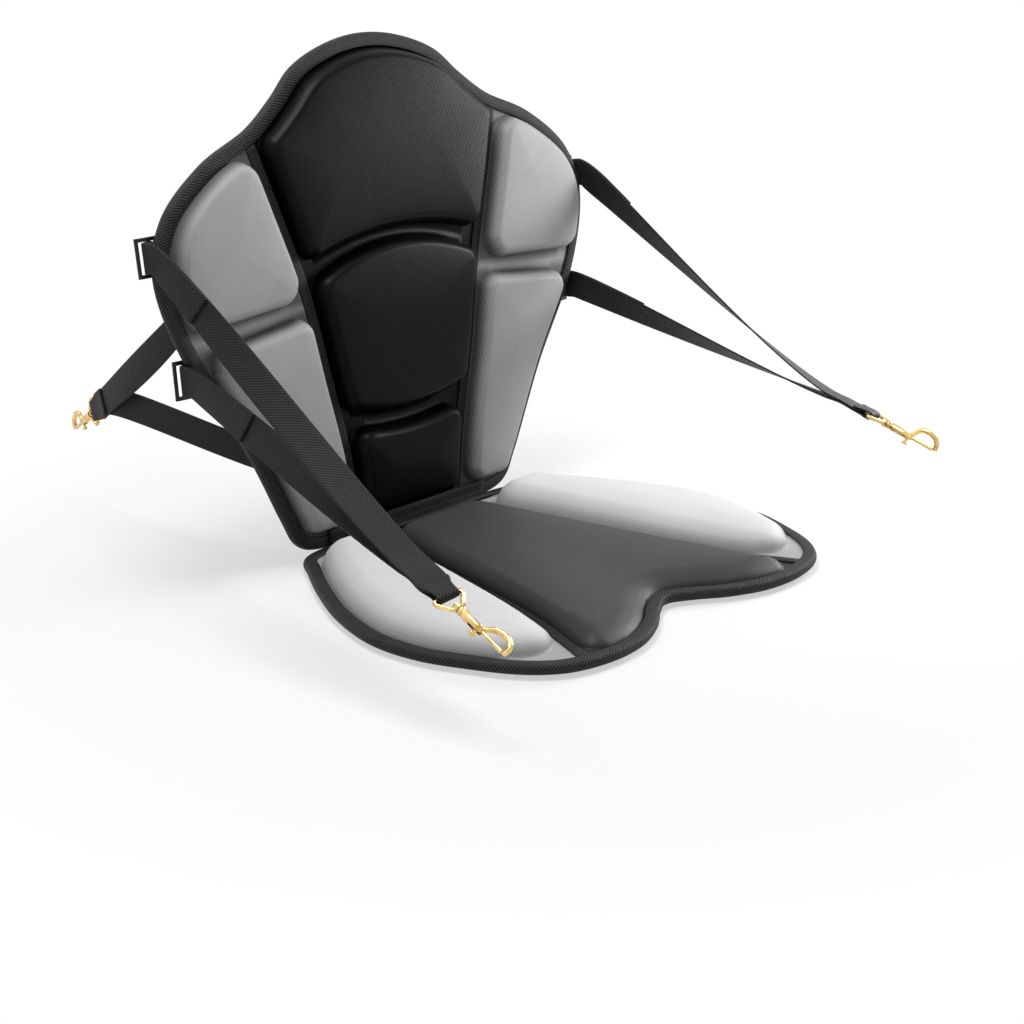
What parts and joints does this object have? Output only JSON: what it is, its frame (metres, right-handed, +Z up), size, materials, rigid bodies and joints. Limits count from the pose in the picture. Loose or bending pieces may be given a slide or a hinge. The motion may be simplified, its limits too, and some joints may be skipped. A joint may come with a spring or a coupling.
{
  "type": "kayak seat",
  "caption": "Sit-on-top kayak seat: high moulded foam back and seat pads joined at a fold, webbing straps in pairs to swivel bolt snaps at four corners, ladder buckles on the front pairs.",
  "frame": {"origin": "middle of the seat's underside, on the floor", "axes": "+Y from the front of the seat towards the back, -Y the way the sitter faces, +X to the right as seen by someone facing the seat (left and right in the names follow this view), +Z up"},
  "size_m": [0.5907, 0.682, 0.4465],
  "materials": {
    "black_fabric": "matte",
    "grey_fabric": "fine weave",
    "dark_fabric": "satin",
    "binding_tape": "ribbed",
    "webbing": "coarse weave",
    "black_plastic": "satin",
    "sheet_plastic": "matte",
    "brass": "polished",
    "spring_steel": "bright"
  },
  "bodies": {
    "seat": {"back_centre_panel": "black_fabric", "back_left_panel": "grey_fabric", "back_right_panel": "grey_fabric", "back_left_seam_tape": "binding_tape", "back_right_seam_tape": "binding_tape", "back_stiffener": "sheet_plastic", "back_rear_cover": "black_fabric", "back_binding": "binding_tape", "seat_base_cover": "black_fabric", "seat_centre_panel": "dark_fabric", "seat_left_panel": "grey_fabric", "seat_right_panel": "grey_fabric", "seat_left_seam_tape": "binding_tape", "seat_right_seam_tape": "binding_tape", "seat_binding": "binding_tape", "fold_gusset": "binding_tape", "upper_back_band": "webbing", "upper_left_buckle": "black_plastic", "upper_right_buckle": "black_plastic", "lower_back_band": "webbing", "lower_left_buckle": "black_plastic", "lower_right_buckle": "black_plastic", "front_left_upper_strap": "webbing", "front_left_lower_strap": "webbing", "front_left_eye": "brass", "front_right_upper_strap": "webbing", "front_right_lower_strap": "webbing", "front_right_eye": "brass", "rear_left_upper_strap": "webbing", "rear_left_lower_strap": "webbing", "rear_left_eye": "brass", "rear_right_upper_strap": "webbing", "rear_right_lower_strap": "webbing", "rear_right_eye": "brass"},
    "front_left_snap": {"front_left_hook": "brass", "front_left_spring": "spring_steel"},
    "front_left_slider": {"front_left_bolt": "brass"},
    "front_right_snap": {"front_right_hook": "brass", "front_right_spring": "spring_steel"},
    "front_right_slider": {"front_right_bolt": "brass"},
    "rear_left_snap": {"rear_left_hook": "brass", "rear_left_spring": "spring_steel"},
    "rear_left_slider": {"rear_left_bolt": "brass"},
    "rear_right_snap": {"rear_right_hook": "brass", "rear_right_spring": "spring_steel"},
    "rear_right_slider": {"rear_right_bolt": "brass"}
  },
  "joints": [
    {"name": "front_left_swivel", "type": "hinge", "parent": "seat", "child": "front_left_snap", "pos_m": [-0.28653, -0.15749, 0.0934], "axis": [-0.0899, -0.9122, -0.3997], "continuous": true},
    {"name": "front_left_bolt_slide", "type": "slide", "parent": "front_left_snap", "child": "front_left_slider", "axis": [0.0899, 0.9122, 0.3997], "range_m": [0, 0.008], "stiffness_N_per_m": 250, "springref_m": -0.002, "deforming": ["front_left_spring"]},
    {"name": "front_right_swivel", "type": "hinge", "parent": "seat", "child": "front_right_snap", "pos_m": [0.27906, -0.1518, 0.10621], "axis": [0.092, -0.9395, -0.3298], "continuous": true},
    {"name": "front_right_bolt_slide", "type": "slide", "parent": "front_right_snap", "child": "front_right_slider", "axis": [-0.092, 0.9395, 0.3298], "range_m": [0, 0.008], "stiffness_N_per_m": 250, "springref_m": -0.002, "deforming": ["front_right_spring"]},
    {"name": "rear_left_swivel", "type": "hinge", "parent": "seat", "child": "rear_left_snap", "pos_m": [-0.16495, 0.42255, 0.09736], "axis": [0.2651, 0.8303, -0.4902], "continuous": true},
    {"name": "rear_left_bolt_slide", "type": "slide", "parent": "rear_left_snap", "child": "rear_left_slider", "axis": [-0.2651, -0.8303, 0.4902], "range_m": [0, 0.008], "stiffness_N_per_m": 250, "springref_m": -0.002, "deforming": ["rear_left_spring"]},
    {"name": "rear_right_swivel", "type": "hinge", "parent": "seat", "child": "rear_right_snap", "pos_m": [0.16495, 0.42255, 0.09736], "axis": [-0.2651, 0.8303, -0.4902], "continuous": true},
    {"name": "rear_right_bolt_slide", "type": "slide", "parent": "rear_right_snap", "child": "rear_right_slider", "axis": [0.2651, -0.8303, 0.4902], "range_m": [0, 0.008], "stiffness_N_per_m": 250, "springref_m": -0.002, "deforming": ["rear_right_spring"]}
  ]
}
